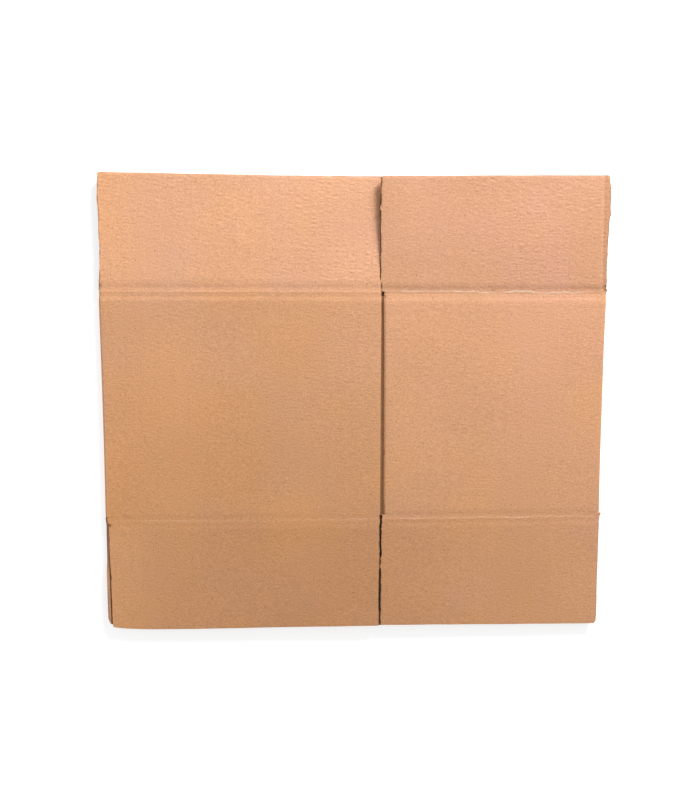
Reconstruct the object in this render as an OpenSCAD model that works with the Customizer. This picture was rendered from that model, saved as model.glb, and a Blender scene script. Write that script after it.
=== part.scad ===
// Slotted corrugated shipping box, knocked down flat with its glued corner uppermost.
// The sheet lies on its rear walls: X runs across the flutes, Y along them from the
// bottom flaps to the top flaps, and Z is up, out of the front walls.

/* [Box] */
// Long wall, from upright score to upright score
box_length = 290; // [220:1:400]
// Narrow wall, from upright score to upright score
box_width = 230; // [150:1:300]
// Walls, from the bottom flap score to the top flap score
wall_height = 238; // [120:1:400]
// Top flaps, from score to free edge
top_flap_length = 116.5; // [60:0.5:200]
// Bottom flaps, from score to free edge
bottom_flap_length = 116.5; // [60:0.5:200]

/* [Board] */
// Thickness of the corrugated board
board_t = 4; // [3:0.1:5]
// Thickness of the inner and of the outer liner
liner_t = 0.4; // [0.3:0.05:0.6]
// Thickness of the fluted paper between the liners
medium_t = 0.4; // [0.3:0.05:0.6]
// Distance from one flute crest to the next
flute_pitch = 7.85; // [6:0.05:10]
// Width of the glued crest where the fluted paper meets a liner
crest_w = 1.1; // [0.8:0.1:1.5]
// Crushed margin without open flutes along a cut side edge
side_crush = 1.5; // [1:0.1:4]

/* [Scores and slots] */
// Width of the crushed band of a score
score_w = 16; // [8:0.5:20]
// Depth of the two grooves of a score
score_d = 0.8; // [0.3:0.05:1.2]
// Depth of the bead that stands between the two grooves
bead_d = 0.3; // [0.1:0.05:0.3]
// Width of the slots between neighbouring flaps
slot_w = 3; // [2:0.5:8]
// Offset of the top slots from the upright scores, towards the glued wall
top_slot_shift = 0.2; // [-2:0.1:2]
// Offset of the bottom slots from the upright scores, towards the glued wall
bottom_slot_shift = 2; // [-2:0.1:2]
// Radius of the worn free corners of the flaps
corner_r = 3; // [1:0.5:8]

/* [Glued corner] */
// Gap between the cut edge of the glued wall and the score of the tab
joint_gap = 4; // [2:0.5:8]
// Width of the glue tab under the glued wall
tab_w = 35; // [20:1:50]
// Thickness of the glue tab, crushed when it is pressed
tab_t = 2.6; // [2:0.1:3]
// Distance by which the tab stops short of the flap scores
tab_trim = 4; // [2:0.5:10]
// Distance by which each end of the tab tapers across its width
tab_taper = 8; // [2:1:15]
// Roundness of the wall's edge at the score of the tab
tab_roll = 1.2; // [0.5:0.1:1.5]
// Distance by which the flaps of the glued wall stop short of its cut edge
flap_trim = 1.2; // [0.5:0.1:1.3]
// Gap between the flaps that meet at the glued corner
flap_gap = 1.5; // [1.4:0.1:4]

/* [Lie of the sheet] */
// Air between the front and rear walls at the folds
ply_gap = 0.6; // [0.4:0.1:2]
// Distance by which the folds bulge past the upright scores
fold_bulge = 1; // [0:0.1:2]
// Rise of the narrow front wall towards the glued corner
joint_rise = 1.6; // [0.5:0.1:2.5]
// Angle at which the creased top flap stands off the sheet
lift_angle = 4; // [3:0.5:20]

/* [Hidden] */
$fn = 48;
kraft = [0.827, 0.608, 0.443];
cut_over = 1;

// Upright lines of the folded sheet, from left to right
flat_w = box_length + box_width;
left_x = -flat_w / 2;
right_x = flat_w / 2;
rear_score_x = left_x + box_width;
tab_score_x = left_x + box_length;
cut_x = tab_score_x - joint_gap;

// The walls sit off centre by half the difference of the flaps, so that the sheet is centred
wall_mid_y = (bottom_flap_length - top_flap_length) / 2;

// Folds: two boards and the air between them turn round one centre
fold_r = board_t + ply_gap / 2;
fold_left_x = left_x - fold_bulge + fold_r;
fold_right_x = right_x + fold_bulge - fold_r;
front_z = board_t + ply_gap;
face_z = front_z + board_t;

// The glued wall climbs onto the tab, and the narrow wall climbs to its score
left_run = cut_x - fold_left_x;
right_run = fold_right_x - tab_score_x;
left_tilt = atan(tab_t / left_run);
right_tilt = atan(joint_rise / right_run);
tab_bite = liner_t / 2;

// Reach of the flap scores over each wall, past its fold and into the gap of the glued corner
fold_over = board_t;
left_wall_sides = [left_x - fold_over, cut_x + joint_gap / 2];
right_wall_sides = [cut_x + joint_gap / 2, right_x + fold_over];
rear_wall_sides = [left_x - fold_over, right_x + fold_over];

// Sides of the flaps, each pair shifted with the slots beside it
function front_left_sides(shift) = [left_x + slot_w / 2 + shift, cut_x - flap_trim];
function front_right_sides(shift) = [cut_x - flap_trim + flap_gap, right_x - slot_w / 2 + shift];
function rear_narrow_sides(shift) = [left_x + slot_w / 2 - shift, rear_score_x - slot_w / 2 - shift];
function rear_wide_sides(shift) = [rear_score_x + slot_w / 2 - shift, right_x - slot_w / 2 - shift];

// Height of the fluted paper's mid line at a share of one pitch, from the outer face
flute_rise = (board_t - 2 * liner_t - medium_t) / 2;
function flute_z(share) = -board_t / 2 + flute_rise * cos(360 * share);

// Hollow of one flute against the outer liner, as x and z over one pitch
flute_hollow = [
    [crest_w / 2, -liner_t],
    for (share = [0.3, 0.5, 0.7]) [share * flute_pitch, flute_z(share) + medium_t / 2],
    [flute_pitch - crest_w / 2, -liner_t]
];
inner_hollow = [for (p = flute_hollow) [p.x, -board_t - p.y]];

// Face of the glued wall, with z = 0 on its outer liner, hung from the left fold
module on_left_wall() {
    translate([fold_left_x, 0, face_z])
        rotate([0, -left_tilt, 0])
            translate([-fold_left_x, 0, 0])
                children();
}

// Face of the narrow front wall, with z = 0 on its outer liner, hung from the right fold
module on_right_wall() {
    translate([fold_right_x, 0, face_z])
        rotate([0, right_tilt, 0])
            translate([-fold_right_x, 0, 0])
                children();
}

// Face of the rear walls, which is turned down
module on_rear_walls() {
    mirror([0, 0, 1])
        children();
}

// Top flaps start at the top score, and bottom flaps at the bottom score, turned about
module at_top_score() {
    translate([0, wall_mid_y + wall_height / 2, 0])
        children();
}

module at_bottom_score() {
    translate([0, wall_mid_y - wall_height / 2, 0])
        mirror([0, 1, 0])
            children();
}

// Upright extrusion of a section drawn in x and z, as tall as the walls
module along_walls() {
    translate([0, wall_mid_y, 0])
        rotate([90, 0, 0])
            linear_extrude(wall_height, center = true)
                children();
}

// Section of a whole score: two grooves with a bead between them. Its outer slopes run on
// past the outer face at y = 0.
module score_section() {
    polygon([
        [-score_w * 3 / 4, score_d],
        [-score_w / 4, -score_d],
        [0, -bead_d],
        [score_w / 4, -score_d],
        [score_w * 3 / 4, score_d],
        [score_w * 3 / 4, score_d + cut_over],
        [-score_w * 3 / 4, score_d + cut_over]
    ]);
}

// Section of the half score on the flap's side. Its inner slope runs on past the bead at x = 0.
module half_score_section() {
    polygon([
        [-score_w / 4, score_d - 2 * bead_d],
        [score_w / 4, -score_d],
        [score_w * 3 / 4, score_d],
        [score_w * 3 / 4, score_d + cut_over],
        [-score_w / 4, score_d + cut_over]
    ]);
}

// Flap's half of a score across the flutes, along X from side to side
module flap_score(sides) {
    translate([sides[0], 0, 0])
        rotate([90, 0, 90])
            linear_extrude(sides[1] - sides[0])
                half_score_section();
}

// Wall's half of the same score
module wall_score(sides) {
    mirror([0, 1, 0])
        flap_score(sides);
}

// Score along the flutes, along Y
module upright_score() {
    along_walls()
        score_section();
}

// What wear takes off one free corner of a flap
module corner_wear() {
    difference() {
        square(corner_r + cut_over);
        circle(corner_r);
    }
}

// Outline of a flap with worn free corners, its score along y = 0
module flap_outline(sides, length) {
    difference() {
        translate([sides[0], 0])
            square([sides[1] - sides[0], length]);
        translate([sides[1] - corner_r, length - corner_r])
            corner_wear();
        translate([sides[0] + corner_r, length - corner_r])
            mirror([1, 0])
                corner_wear();
    }
}

// Open flutes of a flap, from its free edge to the crushed band of its score
module flutes(sides, length) {
    run = length - score_w / 2 - liner_t;
    count = floor((sides[1] - sides[0] - 2 * side_crush) / flute_pitch);
    start = (sides[0] + sides[1] - count * flute_pitch) / 2;
    translate([start, length + cut_over, 0])
        rotate([90, 0, 0])
            linear_extrude(run + cut_over) {
                for (i = [0 : count - 1])
                    translate([i * flute_pitch, 0])
                        polygon(flute_hollow);
                for (i = [0 : count - 2])
                    translate([(i + 0.5) * flute_pitch, 0])
                        polygon(inner_hollow);
            }
}

// Flap of corrugated board with its outer face at z = 0 and its score along y = 0
module flap(sides, length) {
    difference() {
        translate([0, 0, -board_t])
            linear_extrude(board_t)
                flap_outline(sides, length);
        flap_score(sides + [-cut_over, cut_over]);
        flutes(sides, length);
    }
}

// Section of the folded sheet across the walls, open at the glued corner
module walls_section() {
    difference() {
        union() {
            polygon([
                [fold_left_x, 0],
                [fold_right_x, 0],
                [fold_right_x, face_z],
                [tab_score_x, face_z + joint_rise],
                [cut_x, face_z + tab_t],
                [fold_left_x, face_z]
            ]);
            for (x = [fold_left_x, fold_right_x])
                translate([x, fold_r])
                    circle(fold_r);
        }
        polygon([
            [fold_left_x, board_t],
            [fold_right_x, board_t],
            [fold_right_x, front_z],
            [tab_score_x, front_z + joint_rise],
            [cut_x, front_z + tab_t],
            [fold_left_x, front_z]
        ]);
        for (x = [fold_left_x, fold_right_x])
            translate([x, fold_r])
                circle(ply_gap / 2);
        translate([cut_x, board_t])
            square([joint_gap, face_z]);
        translate([tab_score_x + tab_roll, face_z + joint_rise - tab_roll])
            mirror([1, 0])
                difference() {
                    square(tab_roll + cut_over);
                    circle(tab_roll);
                }
    }
}

// Section of the glue tab: it leaves the narrow wall at its score, dips under the glued wall and
// is pressed into its inner liner
module tab_section() {
    end_x = cut_x - tab_w;
    end_z = front_z + tab_t * (end_x - fold_left_x) / left_run;
    polygon([
        [end_x, end_z + tab_bite],
        [end_x, end_z - tab_t],
        [cut_x, front_z],
        [tab_score_x, front_z + joint_rise],
        [tab_score_x + tab_roll, front_z + joint_rise],
        [tab_score_x + tab_roll, face_z + joint_rise - tab_roll],
        [tab_score_x, face_z + joint_rise - tab_roll],
        [cut_x + joint_gap / 4, front_z + tab_t + tab_bite],
        [cut_x, front_z + tab_t + tab_bite]
    ]);
}

// Outline of the glue tab, with tapered ends
module tab_outline() {
    root = wall_height / 2 - tab_trim;
    tip = root - tab_taper;
    polygon([
        [cut_x - tab_w - cut_over, -tip],
        [cut_x, -root],
        [tab_score_x + tab_roll + cut_over, -root],
        [tab_score_x + tab_roll + cut_over, root],
        [cut_x, root],
        [cut_x - tab_w - cut_over, tip]
    ]);
}

module glue_tab() {
    intersection() {
        along_walls()
            tab_section();
        translate([0, wall_mid_y, 0])
            linear_extrude(2 * face_z)
                tab_outline();
    }
}

// Folded walls, glue tab and rear flaps: one sheet of board
module box_walls() {
    color(kraft)
        difference() {
            union() {
                along_walls()
                    walls_section();
                glue_tab();
                on_rear_walls() {
                    at_top_score() {
                        flap(rear_narrow_sides(top_slot_shift), top_flap_length);
                        flap(rear_wide_sides(top_slot_shift), top_flap_length);
                    }
                    at_bottom_score() {
                        flap(rear_narrow_sides(bottom_slot_shift), bottom_flap_length);
                        flap(rear_wide_sides(bottom_slot_shift), bottom_flap_length);
                    }
                }
            }
            on_rear_walls() {
                at_top_score() wall_score(rear_wall_sides);
                at_bottom_score() wall_score(rear_wall_sides);
                translate([rear_score_x, 0, 0]) upright_score();
            }
            on_left_wall() {
                at_top_score() wall_score(left_wall_sides);
                at_bottom_score() wall_score(left_wall_sides);
            }
            on_right_wall() {
                at_top_score() wall_score(right_wall_sides);
                at_bottom_score() wall_score(right_wall_sides);
            }
        }
}

module top_flap_left() {
    color(kraft)
        on_left_wall()
            at_top_score()
                flap(front_left_sides(top_slot_shift), top_flap_length);
}

// The creased flap turns up about the bead of its score
module top_flap_right() {
    color(kraft)
        on_right_wall()
            at_top_score()
                translate([0, 0, -bead_d])
                    rotate([lift_angle, 0, 0])
                        translate([0, 0, bead_d])
                            flap(front_right_sides(top_slot_shift), top_flap_length);
}

module bottom_flap_left() {
    color(kraft)
        on_left_wall()
            at_bottom_score()
                flap(front_left_sides(bottom_slot_shift), bottom_flap_length);
}

module bottom_flap_right() {
    color(kraft)
        on_right_wall()
            at_bottom_score()
                flap(front_right_sides(bottom_slot_shift), bottom_flap_length);
}

box_walls();
top_flap_left();
top_flap_right();
bottom_flap_left();
bottom_flap_right();
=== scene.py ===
"""Knocked-down corrugated shipping box: creased boards, glued corner and a plain studio stage."""

import math
from types import SimpleNamespace

import bpy
import numpy as np
from mathutils import Matrix, Vector


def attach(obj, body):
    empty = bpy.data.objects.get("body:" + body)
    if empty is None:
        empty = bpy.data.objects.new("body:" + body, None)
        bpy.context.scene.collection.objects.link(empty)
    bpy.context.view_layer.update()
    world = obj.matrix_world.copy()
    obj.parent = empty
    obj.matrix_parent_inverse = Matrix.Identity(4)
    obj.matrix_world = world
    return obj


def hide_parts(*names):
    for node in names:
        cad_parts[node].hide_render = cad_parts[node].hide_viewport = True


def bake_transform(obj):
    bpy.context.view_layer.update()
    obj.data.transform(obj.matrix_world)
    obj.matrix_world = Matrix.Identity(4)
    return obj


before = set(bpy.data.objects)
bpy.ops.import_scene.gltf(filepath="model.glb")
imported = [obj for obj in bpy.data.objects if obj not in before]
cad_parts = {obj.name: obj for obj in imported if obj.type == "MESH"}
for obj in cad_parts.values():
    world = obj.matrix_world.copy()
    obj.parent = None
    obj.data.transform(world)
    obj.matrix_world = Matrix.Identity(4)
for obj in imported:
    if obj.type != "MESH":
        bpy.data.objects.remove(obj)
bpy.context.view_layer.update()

bl_info = {
    "name": "Flattened Corrugated Box",
    "version": (1, 0, 0),
    "blender": (4, 5, 0),
    "location": "3D View > Sidebar > Box",
    "description": "Builds a knocked-down corrugated box with creased flaps, and its studio stage",
    "category": "Add Mesh",
}

MM = 0.001
SHARP_EDGE = math.radians(50)

# Seeds of the patterns that run on over the whole sheet, and of those that each board has for itself
SHEET_SEEDS = SimpleNamespace(
    dimple=50, dent=51, warp=52, tone=53, cloud=54, fleck=55, pucker=56, torn=71, tab=81)
BOARD_SEEDS = SimpleNamespace(crease=0, lively=10, crush=20, side_edge=30, free_edge=40, bare=60)
LATTICE = 97


def linear(hex_code):
    """Linear red, green and blue of an sRGB hex colour."""
    srgb = np.array([int(hex_code[i:i + 2], 16) for i in (1, 3, 5)]) / 255
    light = np.where(srgb <= 0.04045, srgb / 12.92, ((srgb + 0.055) / 1.055) ** 2.4)
    return tuple(float(channel) for channel in light)


def length(name, description, default_mm):
    """A length that a user may change, given in millimetres and kept in metres."""
    return bpy.props.FloatProperty(
        name=name, description=description, default=default_mm * MM, unit="LENGTH", precision=5)


def paint(name, description, hex_code):
    """A colour that a user may change, given as an sRGB hex code."""
    return bpy.props.FloatVectorProperty(
        name=name, description=description, default=linear(hex_code), subtype="COLOR", min=0, max=1)


class BoxSizes(bpy.types.PropertyGroup):
    """Sizes of the folded sheet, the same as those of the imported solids."""

    box_length: length("Long wall", "From upright score to upright score", 290)
    box_width: length("Narrow wall", "From upright score to upright score", 230)
    wall_height: length("Wall height", "From the bottom flap score to the top flap score", 238)
    top_flap: length("Top flaps", "From score to free edge", 116.5)
    bottom_flap: length("Bottom flaps", "From score to free edge", 116.5)
    board_t: length("Board", "Thickness of the corrugated board", 4)
    liner_t: length("Liner", "Thickness of each liner and of the fluted paper", 0.4)
    flute_pitch: length("Flute pitch", "Distance from one flute crest to the next", 7.85)
    ply_gap: length("Air gap", "Air between the front and rear walls at the folds", 0.6)
    fold_bulge: length("Fold bulge", "Distance by which the folds bulge past the upright scores", 1)
    slot_w: length("Slot", "Width of the slots between neighbouring flaps", 3)
    top_shift: length("Top slot shift", "Offset of the top slots from the upright scores", 0.2)
    bottom_shift: length("Bottom slot shift", "Offset of the bottom slots from the upright scores", 2)
    flap_trim: length("Flap trim", "Distance from the cut edge of the glued wall back to its flaps", 1.2)
    flap_gap: length("Flap gap", "Gap between the front flaps at the glued corner", 1.5)
    joint_gap: length("Glued corner gap", "Gap between the cut edge and the score of the tab", 4)
    tab_w: length("Glue tab width", "Width of the tab under the glued wall", 35)
    tab_t: length("Glue tab", "Thickness of the crushed glue tab", 2.6)
    tab_trim: length("Tab trim", "Distance by which the tab stops short of the flap scores", 4)
    tab_taper: length("Tab taper", "Distance by which each end of the tab tapers", 8)
    joint_rise: length("Joint rise", "Rise of the narrow front wall towards the glued corner", 1.6)
    lift: bpy.props.FloatProperty(
        name="Raised flap", description="Angle at which the creased top flap stands off the sheet",
        default=math.radians(4), subtype="ANGLE")


class BoardLook(bpy.types.PropertyGroup):
    """Colours of the papers that make up the board."""

    liner: paint("Outer liner", "Kraft liner on the outside of the box", "#D39B71")
    # the pale and brown tints also stand for painted light, shade and sheen across the boards
    pale: paint("Pale liner", "Rubbed and bleached kraft liner", "#EDB28D")
    brown: paint("Brown liner", "Darker kraft liner", "#C08A61")
    orange: paint("Orange patches", "Warmer patches of the kraft liner", "#DD9E65")
    rose: paint("Rose patches", "Pinker patches of the kraft liner", "#D49A7E")
    scuff: paint("Scuffed crease", "Torn paper fibre along a crease", "#F2DCC8")
    speck: paint("Specks", "Bark specks in the paper", "#6B4A30")
    inner: paint("Inner liner", "Liner on the inside of the box", "#BE8B62")
    medium: paint("Fluted paper", "Recycled fluting medium", "#A3764F")
    # the glue tab is darker than the liners partly as painted shade for the groove at the glued corner
    tab: paint("Glue tab", "Crushed liner of the glue tab", "#A67850")


class StageLook(bpy.types.PropertyGroup):
    """Light and floor of the studio."""

    lamp_power: bpy.props.FloatProperty(
        name="Lamp", description="Power of the soft lamp", default=33, unit="POWER")
    lamp_size: bpy.props.FloatProperty(
        name="Lamp size", description="Side of the soft lamp", default=0.5, unit="LENGTH")
    fill: bpy.props.FloatProperty(
        name="Fill", description="Strength of the even light all round", default=0.45)
    floor: paint("Floor", "Pale studio floor", "#E6E6E6")


def layout(sizes):
    """Lines and heights of the folded sheet in millimetres, from the sizes in metres."""
    lengths = (key for key in BoxSizes.__annotations__ if key != "lift")
    s = SimpleNamespace(**{key: getattr(sizes, key) / MM for key in lengths})
    s.lift = sizes.lift
    s.right_x = (s.box_length + s.box_width) / 2
    s.left_x = -s.right_x
    s.rear_score_x = s.left_x + s.box_width
    s.tab_score_x = s.left_x + s.box_length
    s.cut_x = s.tab_score_x - s.joint_gap
    s.mid_y = (s.bottom_flap - s.top_flap) / 2
    s.half = s.wall_height / 2
    s.fold_r = s.board_t + s.ply_gap / 2
    s.fold_left_x = s.left_x - s.fold_bulge + s.fold_r
    s.fold_right_x = s.right_x + s.fold_bulge - s.fold_r
    s.face_z = 2 * s.fold_r
    s.left_slope = s.tab_t / (s.cut_x - s.fold_left_x)
    s.right_slope = s.joint_rise / (s.fold_right_x - s.tab_score_x)
    return s


def ease(t):
    """Smooth step from 0 to 1 with level ends: 6 t^5 - 15 t^4 + 10 t^3."""
    t = np.clip(t, 0, 1)
    return t * t * t * (t * (6 * t - 15) + 10)


def bell(distance, half_width, power=2):
    """Bump of height 1 that falls off with the distance, and faster with a higher power."""
    return np.exp(-(distance / half_width) ** power)


def rolling(x, y, cell_x, cell_y, seed):
    """Rolling relief from -1 to 1: seeded random heights on a lattice of cells, eased into each other."""
    heights = np.random.default_rng(seed).uniform(-1, 1, (LATTICE, LATTICE))
    u, v = np.broadcast_arrays(np.asarray(x) / cell_x, np.asarray(y) / cell_y)
    i, j = np.floor(u).astype(int), np.floor(v).astype(int)
    fu, fv = ease(u - i), ease(v - j)
    i0, j0, i1, j1 = i % LATTICE, j % LATTICE, (i + 1) % LATTICE, (j + 1) % LATTICE
    low = heights[i0, j0] * (1 - fu) + heights[i1, j0] * fu
    high = heights[i0, j1] * (1 - fu) + heights[i1, j1] * fu
    return low * (1 - fv) + high * fv


def waver(along, cell, seed):
    """Rolling value from -1 to 1 along a line."""
    return rolling(along, 0, cell, 1, seed)


def even_steps(x, span, values):
    """Values given at even steps over a span, joined by straight lines."""
    return np.interp(x, np.linspace(*span, len(values)), values)


def spread(*stops):
    """Grid lines from stops (start, step, next start, step, ..., end), with about those steps between."""
    edges, steps = stops[0::2], stops[1::2]
    runs = [np.linspace(a, b, max(1, round(abs(b - a) / step)), endpoint=False)
            for a, b, step in zip(edges[:-1], edges[1:], steps)]
    return np.concatenate([*runs, [edges[-1]]])


def slab(top, low, cells, flip=False):
    """Closed sheet between two grids of points.

    Every cell that exists is a face on the top grid and, turned over, on the low grid. Wherever a
    cell has no neighbour, a rim face joins the two grids. Unused points are dropped. Returns the
    points, the quads and the place of each point in its grid.
    """
    rows, cols = cells.shape
    index = np.arange((rows + 1) * (cols + 1)).reshape(rows + 1, cols + 1)
    under = index.size
    a, b, c, d = index[:-1, :-1], index[:-1, 1:], index[1:, 1:], index[1:, :-1]
    faces = [np.stack([a, b, c, d], -1)[cells], np.stack([d, c, b, a], -1)[cells] + under]
    padded = np.pad(cells, 1)
    above, below = padded[1:, 1:-1], padded[:-1, 1:-1]
    right, left = padded[1:-1, 1:], padded[1:-1, :-1]
    for start, end, edge in (
            (index[:, 1:], index[:, :-1], above & ~below), (index[:, :-1], index[:, 1:], below & ~above),
            (index[:-1], index[1:], right & ~left), (index[1:], index[:-1], left & ~right)):
        p, q = start[edge], end[edge]
        faces.append(np.stack([p, q, q + under, p + under], -1))
    used, faces = np.unique(np.concatenate(faces), return_inverse=True)
    faces = faces.reshape(-1, 4)
    points = np.concatenate([top.reshape(-1, 3), low.reshape(-1, 3)])[used]
    return points, faces[:, ::-1] if flip else faces, used % under


def make_piece(name, sheets, materials, attributes=None):
    """One mesh object from closed sheets of (points in mm, quads, material number)."""
    offsets = np.cumsum([0] + [len(points) for points, _, _ in sheets])
    points = np.concatenate([points for points, _, _ in sheets]) * MM
    faces = np.concatenate([quads + at for (_, quads, _), at in zip(sheets, offsets)])
    numbers = np.concatenate([np.full(len(quads), number) for _, quads, number in sheets])
    mesh = bpy.data.meshes.new(name)
    mesh.vertices.add(len(points))
    mesh.vertices.foreach_set("co", points.astype(np.float32).ravel())
    mesh.loops.add(faces.size)
    mesh.loops.foreach_set("vertex_index", faces.astype(np.int32).ravel())
    mesh.polygons.add(len(faces))
    mesh.polygons.foreach_set("loop_start", np.arange(0, faces.size, 4, dtype=np.int32))
    mesh.polygons.foreach_set("loop_total", np.full(len(faces), 4, dtype=np.int32))
    mesh.polygons.foreach_set("material_index", numbers.astype(np.int32))
    mesh.polygons.foreach_set("use_smooth", np.ones(len(faces), dtype=bool))
    for key, values in (attributes or {}).items():
        mesh.attributes.new(key, "FLOAT", "POINT").data.foreach_set("value", values.astype(np.float32))
    mesh.update(calc_edges=True)
    if mesh.validate():
        raise RuntimeError(f"{name} has faces that Blender had to mend")
    mesh.set_sharp_from_angle(angle=SHARP_EDGE)
    for material in materials:
        mesh.materials.append(material)
    obj = bpy.data.objects.new(name, mesh)
    bpy.context.scene.collection.objects.link(obj)
    return obj


# Folds: side, how far the fold stands out at mid height, and how much more at the flap scores, in mm
FOLD_BOWS = ((-1, 0, 0.5), (1, 0.55, 1.0))
# Folds: side, and how much paler the liner round the fold is than the wall, as painted light against the
# shading of the roll; below 0 it is browner
FOLD_LIGHT_AND_TINT = ((-1, 1.2), (1, -0.3))
# Where the bottom slots end, past the score: they run on into the walls
BOTTOM_SLOT_END = -4.5
# Stretch before the score over which the liner's looks change from those of the wall
SCORE_FADE = 0.9
# Relief of the liner: washboard over the flutes, dimples of the wall and what the flap adds to them,
# shallow dents, and slow warp of the board
WASHBOARD, DIMPLE, FLAP_DIMPLE, DENT, WARP = 0.006, 0.012, 0.02, 0.03, 0.3
# Lines crushed into the raised flap: one slanting in from its outer edge, and a faint one at its inner side
CRUSHED_LINE = SimpleNamespace(inset=2.6, slant=3.4, depth=0.4, half=1.2)
FAINT_LINE = SimpleNamespace(inset=23, depth=0.06, half=0.9)


def traits(crease, **own):
    """Traits of a board with its flap, in mm. Pairs are for the left and the right side.

    Shape of the crease and the flap:
    crease: distance past the score, and height of the face there
    waves: how much the crease waves from side to side
    skew: how far the free edge stands out, at even steps from left to right
    corners: radius of their wear
    droop: slow rounding of the free edge towards the corners
    out: how far the side edges stand out at the score
    lean: how much more the side edges stand out at the free edge
    corner_lean: drift of the wall's edge at the glued corner, at mid height and at the score
    slot_end: where the slots end, past the score
    crush: drop of the face at the side edges
    sag: drop of the flap's free corner on the right
    curl: lift of the left side edge
    rough: roughness of the side edges
    nicks: side, distance past the score, half length, and how far the edge stands out there

    Looks of the liner, over the wall and over the flap, at even steps from left to right:
    tone: paler above 0 and browner below, largely painted light, shade and sheen on each board,
    and climb: its change towards the top of the wall, painted light from above
    hue: rosier above 0 and more orange below
    pucker: swelling of the liner between its flutes
    fade: stretch over which the looks of the wall change to those of the flap

    Marks:
    grime: painted shade at the slots, on the papers within
    bare: side, distance past the score, and half length of dark fluting, partly painted shade at a slot's end
    torn: strength, and distance past the score, of a line of torn fibre
    """
    plain = dict(
        waves=1, skew=(0, 0), corners=(1.5, 1.5), droop=(0, 0), out=(0, 0), lean=(0, 0), corner_lean=(0, 0),
        slot_end=0, crush=(0.2, 0.2), sag=0, curl=0, rough=(1, 1), nicks=(),
        tone=((0,), (0,)), climb=0.12, hue=((0,), (0,)), pucker=((0.3,), (0.3,)), fade=SCORE_FADE,
        grime=0, bare=(), torn=(0, 0))
    return SimpleNamespace(crease=crease, **(plain | own))


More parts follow.
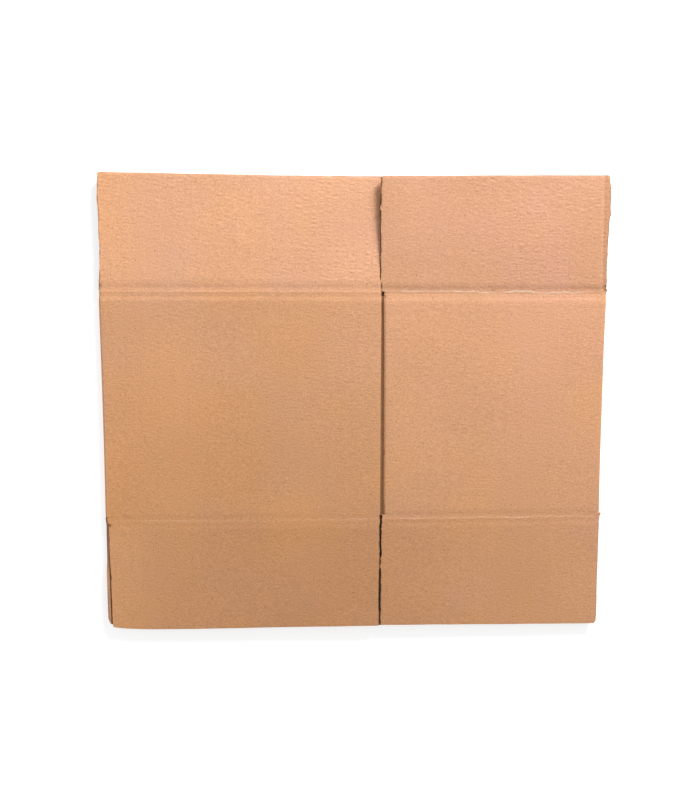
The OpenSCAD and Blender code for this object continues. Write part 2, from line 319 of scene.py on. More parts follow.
# Levels of tone below are largely painted light, shade and sheen; grime and bare spots are painted shade at
# the slots, the bare spots partly dark fluting
TRAITS = {
    "left_top": traits(
        ((-12, 0), (-9.2, -0.05), (-5.6, -0.56), (-5, -0.63), (-1.9, -0.66), (-1, -0.6), (-0.4, -0.61),
         (0.7, -0.71), (3.4, -0.7), (4.2, -0.65), (7.3, -0.24), (11.2, 0)),
        waves=0.4, skew=(1.0, -2.0), corners=(1.5, 2), out=(0, -0.3), corner_lean=(-0.25, 0),
        crush=(-0.12, 0.1), sag=0.5,
        nicks=((-1, 5, 9, 1.5), (-1, 94, 9, 0.9), (-1, 45, 5, -0.5), (1, 4, 8, 1.6), (1, 114, 5, 0.4)),
        tone=((0.33, 0.03, 0), (0.8, 0.72, 0.53)),
        hue=((-0.5, -0.27, -0.05), (-0.5, -0.2, 0, 0.12)),
        pucker=((0.35, 0.35, 0.4), (0.7, 0.8, 0.8, 1.15)),
        grime=0.3, bare=((-1, 6, 2.6),)),
    "right_top": traits(
        ((-12.5, 0), (-9.2, -0.12), (-5.5, -0.6), (-3, -0.76), (-2, -0.86), (0.1, -0.74), (1.1, -0.79),
         (3.4, -0.64), (6.3, -0.2), (9.2, 0)),
        skew=(-1.7, 1.4), corners=(1.5, 3), out=(1.1, 1.0), corner_lean=(0.15, -1.0),
        crush=(0, 0.2), rough=(1.3, 1),
        nicks=((-1, 84, 2.6, 1.2), (-1, 91, 6, 0.2), (-1, 2, 8, -1.6), (-1, 114, 4, 0.1),
               (1, 7, 11, 1.1), (1, 79, 3, 0.9), (1, 86, 11, 0.6), (1, 115, 9, -1.6)),
        tone=((0.1, 0.1), (0.25, 0.2)),
        hue=((0.05, 0.05), (0.12, 0.36, 0.33, 0.28)),
        pucker=((0.25, 0.35), (0.4, 0.8, 1.0)),
        grime=0.3, bare=((1, 6.3, 1.3), (1, 2.6, 0.9)), torn=(1, 0.2)),
    "left_bottom": traits(
        ((-9, 0), (-6.2, -0.03), (-3.4, -0.15), (-1.2, -0.165), (1, -0.08), (3, -0.08), (4.6, -0.11),
         (6.5, -0.07), (9, 0)),
        skew=(0.65, -0.4), corners=(2, 0.6), droop=(3.4, 0), out=(1.05, 0.35), lean=(-1.2, -0.5),
        corner_lean=(-0.25, -0.55), slot_end=BOTTOM_SLOT_END, crush=(-0.05, 0.1), rough=(0.4, 1.3),
        nicks=((-1, -1.5, 3.5, 1.3), (-1, 4, 2, -0.6), (-1, 20, 1.5, -0.4), (-1, 60, 2.5, -0.6),
               (1, -1, 6, 0.35)),
        tone=((0.33, 0.03, 0), (0.14, -0.55, -0.6)), climb=0.3, fade=15,
        hue=((-0.5, -0.27, -0.05), (-0.45, -0.45, -0.15)),
        pucker=((0.35, 0.35, 0.4), (0.2, 0.3)),
        grime=1, bare=((-1, 4, 1.6),), torn=(0.16, -0.5)),
    "right_bottom": traits(
        ((-10, 0), (-8, -0.05), (-4, -0.32), (-1.6, -0.335), (-0.5, -0.27), (0.5, -0.14), (2.6, -0.21),
         (4.8, -0.235), (6.9, -0.09), (9.5, 0)),
        skew=(-0.75, 2.2), corners=(0.6, 3), out=(-0.85, 0.8), lean=(0.25, 0), corner_lean=(0.15, 0.35),
        slot_end=BOTTOM_SLOT_END, crush=(0, 0.1), rough=(1.3, 0.4),
        nicks=((-1, 42.6, 1, 0.9), (-1, 51.5, 1, 1.2), (-1, -1, 6, -0.3),
               (1, -1.5, 5, 0.3), (1, 100, 14, 0.4)),
        tone=((0.1, 0.1), (-0.5, -0.25, -0.05)),
        hue=((0.05, 0.05), (-0.22, -0.25, -0.05)),
        pucker=((0.25, 0.35), (0.2, 0.2)),
        grime=1, torn=(0.3, -0.7)),
    "rear_top": traits(
        ((-8, 0), (-4, -0.7), (0, -0.3), (4, -0.7), (8, 0)), corners=(5, 3)),
    "rear_bottom": traits(
        ((-8, 0), (-4, -0.7), (0, -0.3), (4, -0.7), (8, 0)),
        skew=(-1.5, 1.5, 2, 2), corners=(11, 3), out=(0.9, 0), slot_end=BOTTOM_SLOT_END, curl=3.6,
        # painted light on the rear flap's left edge, where it curls up beside the front flap, and painted
        # shade under the slot
        tone=((0,), (1.2, 0, 0)), grime=0.4),
}


def crease(across, along, section, waves, seed):
    """Height of a crease: its section, waving from side to side and changing in depth along its length."""
    stops = np.array(section)
    wave = waves * (0.45 * waver(along, 17, seed) + 0.2 * waver(along, 5, seed + 1))
    depth = 1 + 0.22 * waver(along, 24, seed + 2) + 0.14 * waver(along, 7, seed + 3)
    line = across + wave * bell(across, 9)
    soft = sum(np.interp(line + shift, stops[:, 0], stops[:, 1]) for shift in (-0.2, 0, 0.2)) / 3
    return soft * depth


class Board:
    """Half of a wall, from mid height to its flap score, with the flaps beyond the score. Lengths are in mm.

    x runs along +X over the flat board, and past runs from the score towards the free edge of the
    flap, negative on the wall. A roll (edge, radius, side) takes the wall round an upright fold.
    """

    def __init__(self, lay, name, end, walls, flaps, rolls, slope, traits, seed,
                 rear=False, lift=0.0, slot_shade_span=()):
        self.lay, self.name, self.end, self.walls, self.flaps = lay, name, end, walls, flaps
        self.rolls, self.slope, self.traits, self.seed = rolls, slope, traits, seed
        self.rear, self.lift, self.slot_end, self.slot_shade_span = rear, lift, traits.slot_end, slot_shade_span
        self.reach = lay.top_flap if end > 0 else lay.bottom_flap
        self.score_y = lay.mid_y + end * lay.half

    def up(self, past):
        """Place along Y of a distance past the score."""
        return self.score_y + self.end * past

    def flap_share(self, past):
        """0 on the wall, 1 on the flap."""
        return ease((past + SCORE_FADE) / SCORE_FADE)

    def face(self, x):
        """Height of the flat outer face: level for the rear walls, a slow climb for the front ones."""
        return np.zeros_like(x) if self.rear else self.lay.face_z + self.slope(x)

    def crushed(self, x, past):
        """Distance outwards from the line that is crushed into the raised flap near its outer edge."""
        return x - self.flaps[0][1] + CRUSHED_LINE.inset + CRUSHED_LINE.slant * past / self.reach

    def inset(self, x):
        """Distance from the nearest side edge of the flaps, inwards."""
        return np.max([np.minimum(x - a, b - x) for a, b in self.flaps], axis=0)

    def sway(self, x, past):
        """Sideways drift of the wall, which fades out within 5 mm past the ends of the slots.

        The folds stand out more towards the flap scores than at mid height, by the cube of the height, and
        the edge at the glued corner leans by its square.
        """
        up = np.clip(past / self.lay.half + 1, 0, 1)
        drift = sum(side * (level + more * up ** 3) * ease((side * x - 200) / 50)
                    for side, level, more in FOLD_BOWS)
        low, high = self.traits.corner_lean
        drift = drift + (low + (high - low) * up ** 2) * ease(1 - np.abs(x - self.lay.cut_x) / 14)
        return drift * (1 - ease((past - self.slot_end) / 5))

    def place(self, x, past, height):
        """Points of the board: height above the outer face, round the folds on the wall, flat on the flap.

        A raised flap turns about the score within 4 mm of it, a little more at its left side. A sagging flap
        drops at its right corner, and a curled rear flap lifts at its left edge.
        """
        x, past, height = np.broadcast_arrays(x, past, height)
        left, right = self.flaps[0]
        on_wall = past <= self.slot_end
        px, pz, nx, nz = x.copy(), self.face(x), np.zeros_like(x), np.ones_like(x)
        for edge, radius, side in self.rolls:
            over = np.where(on_wall, np.clip(side * (x - edge), 0, None), 0)
            turn = over / radius
            px = np.where(over > 0, edge + side * radius * np.sin(turn), px)
            pz = np.where(over > 0, self.face(np.full_like(x, edge)) - radius * (1 - np.cos(turn)), pz)
            nx = np.where(over > 0, side * np.sin(turn), nx)
            nz = np.where(over > 0, np.cos(turn), nz)
        lever = (past + np.sqrt(past * past + 9)) / 2
        lift = self.lift * (1 + 0.1 * ease((left + 60 - x) / 60))
        turn = lift * ease((past + 4) / 8)
        along = past - lever * (1 - np.cos(lift)) - height * np.sin(turn)
        z = pz + lever * np.sin(lift) + height * nz * np.cos(turn)
        z = z - self.traits.sag * ease((x - right + 70) / 70) * ease((past - 5) / 70)
        if self.rear:
            z = self.traits.curl * ease(left + 3.6 - x) * ease((past - 10) / 60) - z
        return np.stack([px + nx * height + self.sway(x, past), self.up(along), z], -1)

    def relief(self, x, past):
        """Height of the outer face: a cosine over the flutes, dimples, warp, crease and crushed edges."""
        y = self.up(past)
        flap = self.flap_share(past)
        own = self.traits
        lively = 0.75 + 0.5 * rolling(x, y, 37, 52, self.seed + BOARD_SEEDS.lively)
        washboard = WASHBOARD * (1 + flap * (self.end > 0)) * lively
        board = washboard * np.cos(2 * math.pi * x / self.lay.flute_pitch)
        dimples = (DIMPLE + FLAP_DIMPLE * flap) * rolling(x, y, 9, 8, SHEET_SEEDS.dimple)
        dimples = dimples + DENT * rolling(x, y, 24, 22, SHEET_SEEDS.dent)
        warp = WARP * rolling(x, y, 75, 90, SHEET_SEEDS.warp)
        off_score = ease((np.abs(past) - 2) / 8)
        off_sides = ease(np.minimum(x - self.walls[0], self.walls[1] - x) / 10)
        height = (board + dimples) * off_score
        height = height + warp * ease(np.abs(past) / 30) * np.where(past > 0, 1, off_sides)
        height = height + crease(past, x, own.crease, own.waves, self.seed + BOARD_SEEDS.crease)
        free_edge_crush = 0.25 if self.end > 0 else 0.05
        crush = free_edge_crush * bell(self.reach - past, 1.5)
        for a, b in self.flaps:
            for drop, within in zip(own.crush, (x - a, b - x)):
                crush = crush + drop * bell(within, 1.6)
        if self.lift:
            lines = CRUSHED_LINE.depth * bell(self.crushed(x, past), CRUSHED_LINE.half)
            faint = x - self.flaps[0][0] - FAINT_LINE.inset
            lines = lines + FAINT_LINE.depth * bell(faint, FAINT_LINE.half)
            height = height - lines * flap * lively
        uneven = 1 + 0.5 * rolling(x, y, 6, 9, self.seed + BOARD_SEEDS.crush)
        height = height - crush * ease(past / 5) * uneven
        return height - self.lay.liner_t if self.rear else height

    def ragged(self, x, past):
        """Drift of the flaps' cut edges, sideways and along the flap.

        The sides wander, lean and are nicked within 5 mm of the edge, the free edge wanders within 9 mm,
        and worn corners are rounded off by an arc.
        """
        y = self.up(past)
        own = self.traits
        flap = ease((past - self.slot_end) / 0.8)
        shift = np.zeros(np.broadcast(x, past).shape)
        back = np.zeros_like(shift)
        for number, (a, b) in enumerate(self.flaps):
            for side, edge, corner, droop, out, lean, rough in zip(
                    (-1, 1), (a, b), own.corners, own.droop, own.out, own.lean, own.rough):
                within = side * (edge - x)
                inside = within >= -0.01
                seed = self.seed + BOARD_SEEDS.side_edge + 2 * number + side
                wander = rough * (0.3 * waver(y, 14, seed) + 0.18 * waver(y, 3.5, seed + 7))
                wander = wander + side * (out + lean * past / self.reach)
                for where, at, half, juts in own.nicks:
                    wander = wander + (where == side) * side * juts * bell(past - at, half, 4)
                shift = shift + np.clip(1 - np.abs(within) / 5, 0, 1) * inside * flap * wander
                dip = np.clip(corner - within, 0, corner) * inside
                back = back + corner - np.sqrt(np.clip(corner ** 2 - dip ** 2, 0, None))
                back = back + droop * np.exp(-np.clip(within, 0, None) / 19)
        free = np.clip(1 - (self.reach - past) / 9, 0, 1)
        back = back - even_steps(x, (self.flaps[0][0], self.flaps[-1][1]), own.skew)
        back = back + 0.15 * waver(x, 21, self.seed + BOARD_SEEDS.free_edge)
        return shift, -back * free

    def columns(self, step):
        """Grid lines across the board, one on every edge of the wall and its flaps, and closer near those."""
        flap_edges = (edge for pair in self.flaps for edge in pair)
        fold_edges = (edge for edge, _, _ in self.rolls)
        stops = sorted({*self.walls, *self.slot_shade_span, *flap_edges, *fold_edges})
        runs = []
        for a, b in zip(stops[:-1], stops[1:]):
            if b - a > 20:
                runs.append(spread(a, 0.6, a + 3.6, step, b - 3.6, 0.6, b)[:-1])
            else:
                runs.append(spread(a, 1.1, b)[:-1])
        return np.concatenate([*runs, [stops[-1]]])

    def score_stops(self, near, step):
        """Stops of the grid lines near the score, with a line on the score and on the ends of the slots."""
        return [value for stop in sorted({-near, self.slot_end, 0}) for value in (stop, step)]

    def cells(self, x, past):
        """Which cells hold board: the wall up to the ends of the slots, and the flaps beyond them."""
        mid_x, mid_past = (x[1:] + x[:-1]) / 2, ((past[1:] + past[:-1]) / 2)[:, None]
        on_wall = (mid_x > self.walls[0]) & (mid_x < self.walls[1])
        on_flap = np.any([(mid_x > a) & (mid_x < b) for a, b in self.flaps], axis=0)
        return np.where(mid_past < self.slot_end, on_wall, on_flap)

    def sheet(self, x, past, top_depth, low_depth):
        """Closed paper sheet between two depths in the board, squeezed with it where the board is crushed.

        Returns its points, its quads, and the place of each point on the flat board.
        """
        gx, gp = np.meshgrid(x, past)
        outer = self.relief(gx, gp)
        edge = np.clip(self.inset(gx), 0, None)
        inner = -self.lay.board_t + 0.4 * bell(edge, 1.6) * ease(gp / 5)
        shift, back = self.ragged(gx, gp)
        grids = [self.place(gx + shift, gp + back, inner + (outer - inner) * (1 - depth / self.lay.board_t))
                 for depth in (top_depth, low_depth)]
        points, quads, used = slab(*grids, self.cells(x, past), flip=(self.end < 0) != self.rear)
        return points, quads, gx.ravel()[used], gp.ravel()[used]

    def piece(self, papers):
        """The board as one piece: outer liner, fluted paper along a cosine, and inner liner.

        A rear board's grid is coarser.
        """
        lay = self.lay
        coarse = 2.5 if self.rear else 1
        fine = spread(-lay.half, 3 * coarse, -16, 0.9 * coarse, *self.score_stops(6.5, 0.42 * coarse),
                      6.5, 0.9 * coarse, 16, 2.2 * coarse, self.reach - 5, 0.7, self.reach)
        few = spread(-lay.half, 20, *self.score_stops(12, 1.5), 12, 15, self.reach - 3, 1, self.reach)
        wave = self.columns(lay.flute_pitch / 8)
        rise = (lay.board_t - 3 * lay.liner_t) / 2
        depth = lay.board_t / 2 - rise * np.cos(2 * math.pi * wave / lay.flute_pitch)
        sheets = [self.sheet(self.columns(1.57 * coarse), fine, 0, lay.liner_t),
                  self.sheet(wave, few, depth - lay.liner_t / 2, depth + lay.liner_t / 2),
                  self.sheet(self.columns(5), few, lay.board_t - lay.liner_t, lay.board_t)]
        across = np.concatenate([x for _, _, x, _ in sheets])
        past = np.concatenate([gone for _, _, _, gone in sheets])
        within = np.repeat([0, 1, 1], [len(points) for points, _, _, _ in sheets])
        looks = {"tone": self.tones_and_painted_light(across, past), "hue": self.hues(across, past),
                 "pucker": self.puckers(across, past), "scuff": self.scuffs(across, past),
                 "fray_and_shade": self.frays_and_shade(across, past, within)}
        numbered = [(points, quads, number) for number, (points, quads, _, _) in enumerate(sheets)]
        return make_piece(self.name, numbered, papers, looks)

    def levels(self, x, past, stops, climb):
        """Even change from side to side on the wall and on the flap, climbing towards the wall's top."""
        on_wall, on_flap = stops
        wall = even_steps(x, self.walls, on_wall) + climb * self.up(past) / self.lay.half
        flap = even_steps(x, (self.flaps[0][0], self.flaps[-1][1]), on_flap)
        share = ease((past + SCORE_FADE) / self.traits.fade)
        return wall * (1 - share) + flap * share

    def tones_and_painted_light(self, x, past):
        """Paler or browner liner: levels that are largely painted light, shade and sheen, drifting patches,
        painted light on the left fold and a browner right fold, and painted shade beyond the line that is
        crushed into the raised flap."""
        flap = self.flap_share(past)
        tone = self.levels(x, past, self.traits.tone, self.traits.climb)
        # painted light on the rolled left fold, and a browner right fold
        for side, fold_light_and_tint in FOLD_LIGHT_AND_TINT:
            tone = tone + fold_light_and_tint * ease((side * x - self.lay.fold_right_x) / 1.5) * (1 - flap)
        # painted shade on the strip beyond the line crushed into the raised flap
        if self.lift:
            tone = tone - 0.5 * ease(self.crushed(x, past) / CRUSHED_LINE.half + 0.5) * flap
        return tone + 0.12 * rolling(x, self.up(past), 62, 48, SHEET_SEEDS.tone)

    def hues(self, x, past):
        """Rosier or more orange liner, in clouds of pulp 65 and 26 mm across."""
        y = self.up(past)
        clouds = 0.26 * rolling(x, y, 65, 65, SHEET_SEEDS.cloud)
        clouds = clouds + 0.14 * rolling(x, y, 26, 26, SHEET_SEEDS.fleck)
        return self.levels(x, past, self.traits.hue, 0.15) + clouds

    def puckers(self, x, past):
        """Strength of the puckers in the liner, in patches 45 mm across, and none on the score."""
        patches = 0.75 + 0.5 * rolling(x, self.up(past), 45, 38, SHEET_SEEDS.pucker)
        strength = np.clip(self.levels(x, past, self.traits.pucker, 0.2), 0, None)
        return strength * patches * ease((np.abs(past) - 3) / 10)

    def scuffs(self, x, past):
        """Torn fibre on the crease: a thin wavy line, broken along its length."""
        strength, at = self.traits.torn
        seed = SHEET_SEEDS.torn
        line = at + 0.9 * waver(x, 15, seed) + 0.5 * waver(x, 5, seed + 1)
        broken = strength * (0.7 + 0.6 * waver(x, 7, seed + 2) + 0.4 * waver(x, 30, seed + 3))
        inside = (x > self.flaps[0][0] + 3) & (x < self.flaps[0][1] - 12)
        return bell(past - line, 0.45) * np.clip(broken, 0, 1) * inside

    def frays_and_shade(self, x, past, within):
        """Dark fluting bared along the cut side edges of the flaps, and painted shade at the slots.

        The bared fluting is dotted, and fuller at nicks and rough edges; the spots at the ends of the slots
        are partly painted shade. On the papers within a front board it adds painted shade near the cut edges
        at the slots, and a rear board has painted shade under the slot between the front flaps.
        """
        y = self.up(past)
        own = self.traits
        bare = np.zeros_like(x)
        for a, b in self.flaps:
            for side, edge, rough in zip((-1, 1), (a, b), own.rough):
                depth = np.abs(edge - x)
                seed = self.seed + BOARD_SEEDS.bare + side
                dots = rough * (0.4 + 0.5 * waver(y, 2.2, seed) + 0.3 * waver(y, 11, seed + 3))
                bare = np.maximum(bare, dots * np.exp(-depth / 0.4))
                # spots of dark fluting that are partly painted shade at the ends of the slots
                for where, at, half in own.bare:
                    spot = (where == side) * bell(past - at, half, 4)
                    bare = np.maximum(bare, spot * bell(depth, 1.8))
                if not self.rear:
                    # painted shade on the papers within a front board, near the cut edges at the slots
                    bare = np.maximum(bare, own.grime * within * bell(depth, 4))
        # painted shade on the rear board, under the slot between the front flaps
        if self.slot_shade_span:
            middle = sum(self.slot_shade_span) / 2
            bare = np.maximum(bare, own.grime * within * bell(x - middle, 2.6))
        return np.clip(bare, 0, 1) * ease((past - self.slot_end) / 1.5)


# Patterns of the paper, in mm. Fibres are 0.03 mm wide, and are drawn as coarser flecks so that they show.
FIBRE_FLECK = 1.3
FIBRE_HEIGHT = 0.22
SPECK_SPACING = 9
WRINKLE_WIDTH = 2.2
WRINKLE_HEIGHT = 0.2
PUCKER_LENGTH = 2.8
PUCKER_HEIGHT = 0.55
# Share of its scale along Y that a pattern has along X: below 1 it is drawn out along X
FIBRE_STRETCH = (0.8, 1.0, 1.0)
WRINKLE_STRETCH = (0.45, 1.0, 1.0)
# Darkest and lightest fleck of fibre, and strength of the faint bands, as shares of the paper's colour
FIBRE_SHADES = (0.74, 1.26)
BAND_STRENGTH = 0.005
# Options of a node that multiplies one colour by another
MULTIPLY = dict(data_type="RGBA", blend_type="MULTIPLY")


def node(tree, kind, inputs=None, **settings):
    """Adds a node: settings are its own options, and each input is a number, a colour or a socket to link."""
    made = tree.nodes.new(kind)
    for key, value in settings.items():
        setattr(made, key, value)
    for key, value in (inputs or {}).items():
        socket = made.inputs[key]
        if isinstance(value, bpy.types.NodeSocket):
            tree.links.new(value, socket)
        else:
            socket.default_value = (*value, 1) if socket.type == "RGBA" else value
    return made


def per(size_mm):
    """Scale of a pattern, in repeats per metre, from its size in millimetres."""
    return 1 / (size_mm * MM)


def paper_colour(tree, where, fibre, own, colour, look, pitch, marks):
    """Colour of the paper, from the fibre up to the marks that lie on it."""
    # fibre mottle
    dark, light = FIBRE_SHADES
    shade = node(tree, "ShaderNodeMapRange", {0: fibre, 1: 0.3, 2: 0.7, 3: dark, 4: light})
    mixed = node(tree, "ShaderNodeMix", {0: 1.0, 6: colour, 7: shade.outputs[0]}, **MULTIPLY)
    # faint bands, one to every two flutes; at a scale of 1 the wave texture repeats every pi / 10
    bands = node(tree, "ShaderNodeTexWave", {
        "Vector": where, "Scale": math.pi / 10 * per(2 * pitch),
        "Distortion": 0.6, "Detail": 1.0, "Detail Scale": 2.0}, wave_type="BANDS", bands_direction="X")
    swing = BAND_STRENGTH * marks
    banded = node(tree, "ShaderNodeMapRange", {0: bands.outputs[1], 3: 1 - swing, 4: 1 + swing})
    mixed = node(tree, "ShaderNodeMix", {0: 1.0, 6: mixed.outputs[2], 7: banded.outputs[0]}, **MULTIPLY)
    # paler and browner liner, largely painted light, shade and sheen, and rosier and more orange liner
    for level, sign, tint in ((own["tone"], 1, look.pale), (own["tone"], -1, look.brown),
                              (own["hue"], 1, look.rose), (own["hue"], -1, look.orange)):
        amount = node(tree, "ShaderNodeMath", {
            0: level, 1: sign * marks}, operation="MULTIPLY", use_clamp=True)
        ratio = tuple(t / c for t, c in zip(tint, look.liner))
        change = node(tree, "ShaderNodeMix", {
            0: amount.outputs[0], 6: (1.0, 1.0, 1.0), 7: ratio}, data_type="RGBA")
        mixed = node(tree, "ShaderNodeMix", {0: 1.0, 6: mixed.outputs[2], 7: change.outputs[2]}, **MULTIPLY)
    # bark specks about 1 mm across, torn fibre along the crease, fluting bared along the cut edges,
    # and painted shade at the slots
    cells = node(tree, "ShaderNodeTexVoronoi", {
        "Vector": where, "Scale": per(SPECK_SPACING), "Randomness": 1.0})
    dot = node(tree, "ShaderNodeMapRange", {
        0: cells.outputs["Distance"], 1: 0.04, 2: 0.08, 3: 0.65 * marks, 4: 0.0})
    for amount, mark in (
            (dot.outputs[0], look.speck), (own["scuff"], look.scuff), (own["fray_and_shade"], look.speck)):
        mixed = node(tree, "ShaderNodeMix", {
            0: amount, 6: mixed.outputs[2], 7: tuple(mark)}, data_type="RGBA")
    return mixed.outputs[2]


def paper_bumps(tree, where, fibre, own, pitch):
    """Normal of the paper: long wrinkles, puckers between the flutes, and the fibre on top."""
    # wrinkles of the liner, drawn out across the flutes
    lie = node(tree, "ShaderNodeMapping", {0: where, 3: WRINKLE_STRETCH})
    wrinkle = node(tree, "ShaderNodeTexNoise", {
        "Vector": lie.outputs[0], "Scale": per(WRINKLE_WIDTH), "Detail": 1.0, "Roughness": 0.5})
    wrinkled = node(tree, "ShaderNodeBump", {
        "Strength": 1.0, "Distance": WRINKLE_HEIGHT * MM, "Height": wrinkle.outputs[0]})
    # puckers: each flute has its own column of lumps, which is highest in the middle of the flute
    spot = node(tree, "ShaderNodeSeparateXYZ", {0: where})
    flute = node(tree, "ShaderNodeMath", {0: spot.outputs[0], 1: per(pitch)}, operation="MULTIPLY")
    number = node(tree, "ShaderNodeMath", {0: flute.outputs[0]}, operation="FLOOR")
    turn = node(tree, "ShaderNodeMath", {0: flute.outputs[0], 1: math.pi}, operation="MULTIPLY")
    across = node(tree, "ShaderNodeMath", {0: turn.outputs[0]}, operation="SINE")
    hump = node(tree, "ShaderNodeMath", {0: across.outputs[0], 1: 2.0}, operation="POWER")
    apart = node(tree, "ShaderNodeMath", {0: number.outputs[0], 1: 3.7}, operation="MULTIPLY")
    along = node(tree, "ShaderNodeMath", {0: spot.outputs[1], 1: per(PUCKER_LENGTH)}, operation="MULTIPLY")
    place = node(tree, "ShaderNodeCombineXYZ", {0: apart.outputs[0], 1: along.outputs[0]})
    lumps = node(tree, "ShaderNodeTexNoise", {"Vector": place.outputs[0], "Scale": 1.0, "Detail": 0.0})
    rise = node(tree, "ShaderNodeMath", {0: lumps.outputs[0], 1: 0.42}, operation="SUBTRACT")
    pads = node(tree, "ShaderNodeMath", {0: hump.outputs[0], 1: rise.outputs[0]}, operation="MULTIPLY")
    tall = node(tree, "ShaderNodeMath", {0: pads.outputs[0], 1: own["pucker"]}, operation="MULTIPLY")
    puckered = node(tree, "ShaderNodeBump", {
        "Strength": 1.0, "Distance": PUCKER_HEIGHT * MM,
        "Height": tall.outputs[0], "Normal": wrinkled.outputs[0]})
    fibrous = node(tree, "ShaderNodeBump", {
        "Strength": 0.4, "Distance": FIBRE_HEIGHT * MM, "Height": fibre, "Normal": puckered.outputs[0]})
    return fibrous.outputs[0]


def paper(name, colour, look, pitch, roughness, marks):
    """Kraft paper made from brown pulp on a wire: matt and fibrous, with cloudy patches, a few bark specks
    and, on the outside, faint bands, puckers between the flutes and torn fibre on the creases."""
    material = bpy.data.materials.new(name)
    material.use_nodes = True
    tree = material.node_tree
    tree.nodes.clear()
    where = node(tree, "ShaderNodeTexCoord").outputs["Object"]
    own = {key: node(tree, "ShaderNodeAttribute", attribute_name=key).outputs["Fac"]
           for key in ("tone", "hue", "pucker", "scuff", "fray_and_shade")}
    stretch = node(tree, "ShaderNodeMapping", {0: where, 3: FIBRE_STRETCH})
    fibre = node(tree, "ShaderNodeTexNoise", {
        "Vector": stretch.outputs[0], "Scale": per(FIBRE_FLECK), "Detail": 3.0, "Roughness": 0.85}).outputs[0]
    surface = node(tree, "ShaderNodeBsdfPrincipled", {
        "Base Color": paper_colour(tree, where, fibre, own, colour, look, pitch, marks),
        "Roughness": roughness, "IOR": 1.5, "Normal": paper_bumps(tree, where, fibre, own, pitch)})
    node(tree, "ShaderNodeOutputMaterial", {0: surface.outputs[0]})
    return material


def papers(context):
    """The papers of the board, made once: outer liner, fluted paper, inner liner and crushed tab."""
    look, pitch = context.scene.board_look, context.scene.box_sizes.flute_pitch / MM
    # name, colour, roughness and strength of the marks: the outer liner is the smoothest and shows its
    # patches most, the recycled fluting is dull and plain, and the crushed tab is dull, and darker than the
    # liners partly as painted shade for the groove at the glued corner
    recipes = (
        ("kraft_liner_outer", look.liner, 0.7, 1.0),
        ("fluting_medium_recycled", look.medium, 0.85, 0.4),
        ("kraft_liner_inner", look.inner, 0.8, 0.6),
        ("kraft_liner_crushed_tab_and_painted_shade", look.tab, 0.85, 0.5))
    return [bpy.data.materials.get(name) or paper(name, tuple(colour), look, pitch, roughness, marks)
            for name, colour, roughness, marks in recipes]


# The narrow wall turns down into the score of the glue tab: place past the score, radius in mm, and angle
DIP_PAST, DIP_R, DIP_TURN = 1.6, 3.2, math.radians(48)
# Distance on each side of a front board's score, and depth below its face, of two points at the score, in mm
BEND_HALF, BEND_DEPTH = 3, 0.25


def ends(lay):
    """Both ends of the sheet: direction along Y, offset of the slots and name."""
    return (1, lay.top_shift, "top"), (-1, lay.bottom_shift, "bottom")


def front_boards(lay):
    """The four front boards, each half a wall with its flap, and the flap's node."""
    half_slot, fold = lay.slot_w / 2, math.pi * lay.fold_r

    def climb_left(x):
        return (np.clip(x, lay.fold_left_x, None) - lay.fold_left_x) * lay.left_slope

    def climb_right(x):
        return (lay.fold_right_x - np.clip(x, None, lay.fold_right_x)) * lay.right_slope

    dip_x = lay.tab_score_x + DIP_PAST
    left_wall = (lay.fold_left_x - fold, lay.cut_x)
    right_wall = (dip_x - DIP_R * DIP_TURN, lay.fold_right_x + fold)
    left_rolls = [(lay.fold_left_x, lay.fold_r, -1)]
    right_rolls = [(lay.fold_right_x, lay.fold_r, 1), (dip_x, DIP_R, -1)]
    for end, shift, word in ends(lay):
        left_flap = (lay.left_x + half_slot + shift, lay.cut_x - lay.flap_trim)
        right_flap = (lay.cut_x - lay.flap_trim + lay.flap_gap, lay.right_x - half_slot + shift)
        yield f"{word}_flap_left", Board(
            lay, f"board_{word}_left", end, left_wall, [left_flap], left_rolls, climb_left,
            TRAITS[f"left_{word}"], 100 + 10 * end)
        yield f"{word}_flap_right", Board(
            lay, f"board_{word}_right", end, right_wall, [right_flap], right_rolls, climb_right,
            TRAITS[f"right_{word}"], 200 + 10 * end, lift=lay.lift if end > 0 else 0.0)


def rear_boards(lay):
    """The two rear boards, each half of both rear walls with two flaps."""
    half_slot = lay.slot_w / 2
    for end, shift, word in ends(lay):
        flaps = [(lay.left_x + half_slot - shift, lay.rear_score_x - half_slot - shift),
                 (lay.rear_score_x + half_slot - shift, lay.right_x - half_slot - shift)]
        yield Board(
            lay, f"board_{word}_rear", end, (lay.fold_left_x, lay.fold_right_x), flaps, [], None,
            # the span under the slot at the glued corner gets painted shade
            TRAITS[f"rear_{word}"], 300 + 10 * end, rear=True, slot_shade_span=(lay.cut_x - 2.5, lay.cut_x + 1.5))


class BOX_OT_front_boards(bpy.types.Operator):
    """Build the front walls with their four flaps, creased at their scores"""

    bl_idname = "box.front_boards"
    bl_label = "Front boards"

    def execute(self, context):
        for flap, board in front_boards(layout(context.scene.box_sizes)):
            obj = board.piece(papers(context)[:3])
            mid = sum(board.flaps[0]) / 2
            height = float(board.face(np.array(mid))) - BEND_DEPTH
            start, end = ((mid * MM, board.up(past) * MM, height * MM) for past in (-BEND_HALF, BEND_HALF))
            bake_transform(obj)
            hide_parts(flap)
        return {"FINISHED"}


class BOX_OT_rear_boards(bpy.types.Operator):
    """Build the rear walls with their four flaps"""

    bl_idname = "box.rear_boards"
    bl_label = "Rear boards"

    def execute(self, context):
        for board in rear_boards(layout(context.scene.box_sizes)):
            obj = board.piece(papers(context)[:3])
            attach(obj, "box_walls")
            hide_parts("box_walls")
        return {"FINISHED"}


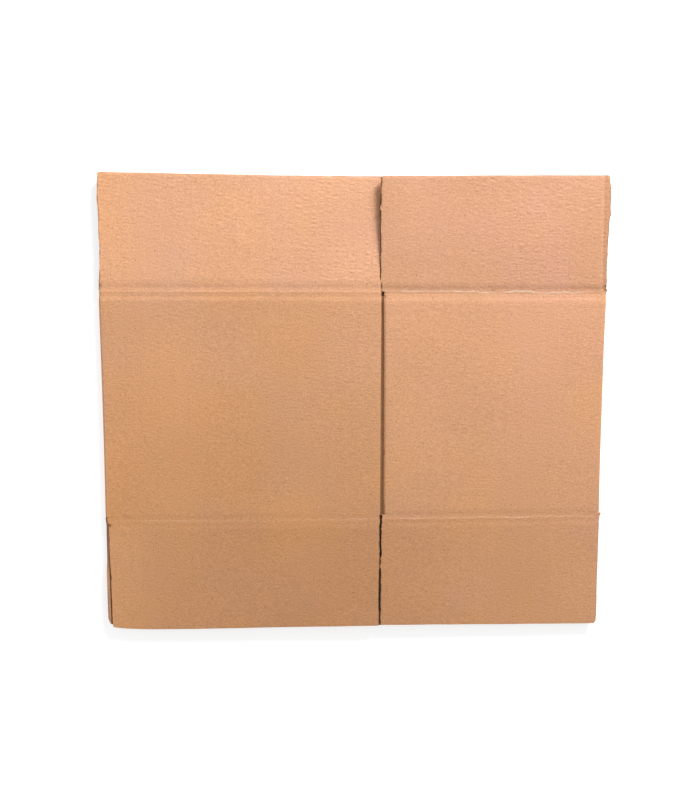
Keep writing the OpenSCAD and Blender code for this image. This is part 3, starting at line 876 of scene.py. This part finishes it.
class BOX_OT_glue_tab(bpy.types.Operator):
    """Build the crushed glue tab that joins the front walls"""

    bl_idname = "box.glue_tab"
    bl_label = "Glue tab"

    def execute(self, context):
        lay = layout(context.scene.box_sizes)
        top = lay.face_z - lay.board_t + lay.tab_t + lay.liner_t / 2
        # the tab's section, from its free edge under the glued wall to the score of the narrow wall:
        # distance past the cut edge, and rise
        section = np.array([(-lay.tab_w, -0.4), (-4, -0.1), (0.4, 0.05), (1.6, 0.35), (3.2, 1.6), (4.5, 2.4)])
        section = section + (lay.cut_x, top)
        x = spread(section[0, 0], 4, section[1, 0], 0.5, section[-1, 0])
        across = spread(-1, 0.02, 1)
        gx, share = np.meshgrid(x, across)
        taper = lay.tab_taper * np.clip((lay.cut_x - gx) / lay.tab_w, 0, 1)
        gy = lay.mid_y + share * (lay.half - lay.tab_trim - taper)
        gz = np.interp(gx, section[:, 0], section[:, 1]) + 0.12 * rolling(gx, gy, 5, 8, SHEET_SEEDS.tab)
        upper = np.stack([gx, gy, gz], -1)
        lower = upper - np.array([0, 0, lay.tab_t - lay.liner_t])
        points, quads, _ = slab(upper, lower, np.ones((len(across) - 1, len(x) - 1), bool))
        obj = make_piece("glue_tab", [(points, quads, 0)], [papers(context)[3]])
        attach(obj, "box_walls")
        return {"FINISHED"}


# Stage, in metres: the floor lies a little below the sheet and adds light of its own where it is seen
FLOOR_HALF = 6
FLOOR_Z = -0.0004
FLOOR_GLOW = 0.6
LAMP_PLACE = Vector((0.65, 1.33, 0.65))
# Camera fitted to the folds and scores of the sheet: lens and sensor in mm, place in metres, and its own axes
LENS, SENSOR = 34.65, 36
CAMERA_PLACE = Vector((-0.04242, 0.08895, 0.80389))
CAMERA_RIGHT = Vector((0.99896, 0.00074, 0.04559))
CAMERA_UP = Vector((0.0039, 0.9948, -0.10176))
CAMERA_BACK = Vector((-0.04543, 0.10183, 0.99376))


def seen(tree):
    """1 for what the camera sees, straight, mirrored or through glass, and 0 for light on the object."""
    rays = node(tree, "ShaderNodeLightPath").outputs
    direct = node(tree, "ShaderNodeMath", {
        0: rays["Is Camera Ray"], 1: rays["Is Glossy Ray"]}, operation="MAXIMUM")
    return node(tree, "ShaderNodeMath", {
        0: direct.outputs[0], 1: rays["Is Transmission Ray"]}, operation="MAXIMUM").outputs[0]


def studio_paper_roll(look):
    """Matt paper roll, which the camera sees as white apart from the shadow."""
    material = bpy.data.materials.new("studio_paper_roll")
    material.use_nodes = True
    tree = material.node_tree
    tree.nodes.clear()
    glow = node(tree, "ShaderNodeMath", {0: seen(tree), 1: FLOOR_GLOW}, operation="MULTIPLY")
    matt = node(tree, "ShaderNodeBsdfDiffuse", {0: tuple(look.floor)})
    light = node(tree, "ShaderNodeEmission", {1: glow.outputs[0]})
    both = node(tree, "ShaderNodeAddShader", {0: matt.outputs[0], 1: light.outputs[0]})
    node(tree, "ShaderNodeOutputMaterial", {0: both.outputs[0]})
    return material


def studio_world(look):
    """Even light all round, which the camera sees as white."""
    world = bpy.data.worlds.new("studio")
    world.use_nodes = True
    tree = world.node_tree
    tree.nodes.clear()
    level = node(tree, "ShaderNodeMapRange", {0: seen(tree), 3: look.fill, 4: 1.0})
    sky = node(tree, "ShaderNodeBackground", {0: (1.0, 1.0, 1.0), 1: level.outputs[0]})
    node(tree, "ShaderNodeOutputWorld", {0: sky.outputs[0]})
    return world


class BOX_OT_stage(bpy.types.Operator):
    """Set the pale floor, the soft lamp, the even light all round and the camera"""

    bl_idname = "box.stage"
    bl_label = "Stage"

    def execute(self, context):
        scene, look = context.scene, context.scene.stage_look
        corners = [(side * FLOOR_HALF, up * FLOOR_HALF, FLOOR_Z)
                   for side, up in ((-1, -1), (1, -1), (1, 1), (-1, 1))]
        floor = bpy.data.meshes.new("studio_floor")
        floor.from_pydata(corners, [], [(0, 1, 2, 3)])
        floor.materials.append(studio_paper_roll(look))
        ground = bpy.data.objects.new("studio_floor", floor)
        scene.collection.objects.link(ground)
        scene.world = studio_world(look)

        lamp = bpy.data.lights.new("soft_lamp", "AREA")
        lamp.shape, lamp.size, lamp.energy = "SQUARE", look.lamp_size, look.lamp_power
        shine = bpy.data.objects.new("soft_lamp", lamp)
        shine.location = LAMP_PLACE
        shine.rotation_euler = (-LAMP_PLACE).to_track_quat("-Z", "Y").to_euler()
        scene.collection.objects.link(shine)

        camera = bpy.data.cameras.new("camera")
        camera.lens, camera.sensor_width = LENS, SENSOR
        eye = bpy.data.objects.new("camera", camera)
        turn = Matrix((CAMERA_RIGHT, CAMERA_UP, CAMERA_BACK)).transposed().to_4x4()
        eye.matrix_world = Matrix.Translation(CAMERA_PLACE) @ turn
        scene.collection.objects.link(eye)
        scene.camera = eye
        scene.view_settings.view_transform = "Standard"
        return {"FINISHED"}


class BOX_PT_panel(bpy.types.Panel):
    """Sidebar panel with the box's pieces, sizes and colours"""

    bl_idname = "BOX_PT_panel"
    bl_label = "Flattened Box"
    bl_space_type = "VIEW_3D"
    bl_region_type = "UI"
    bl_category = "Box"

    def draw(self, context):
        for operator in OPERATORS:
            self.layout.operator(operator.bl_idname)
        for key in GROUPS:
            group = getattr(context.scene, key)
            column = self.layout.column()
            for name in type(group).__annotations__:
                column.prop(group, name)


GROUPS = {"box_sizes": BoxSizes, "board_look": BoardLook, "stage_look": StageLook}
OPERATORS = (BOX_OT_front_boards, BOX_OT_rear_boards, BOX_OT_glue_tab, BOX_OT_stage)
CLASSES = (*GROUPS.values(), *OPERATORS, BOX_PT_panel)


def register():
    for cls in CLASSES:
        bpy.utils.register_class(cls)
    for key, group in GROUPS.items():
        setattr(bpy.types.Scene, key, bpy.props.PointerProperty(type=group))


def unregister():
    for key in GROUPS:
        delattr(bpy.types.Scene, key)
    for cls in reversed(CLASSES):
        bpy.utils.unregister_class(cls)


def main():
    register()
    bpy.ops.box.front_boards()
    bpy.ops.box.rear_boards()
    bpy.ops.box.glue_tab()
    bpy.ops.box.stage()


if __name__ == "__main__":
    main()
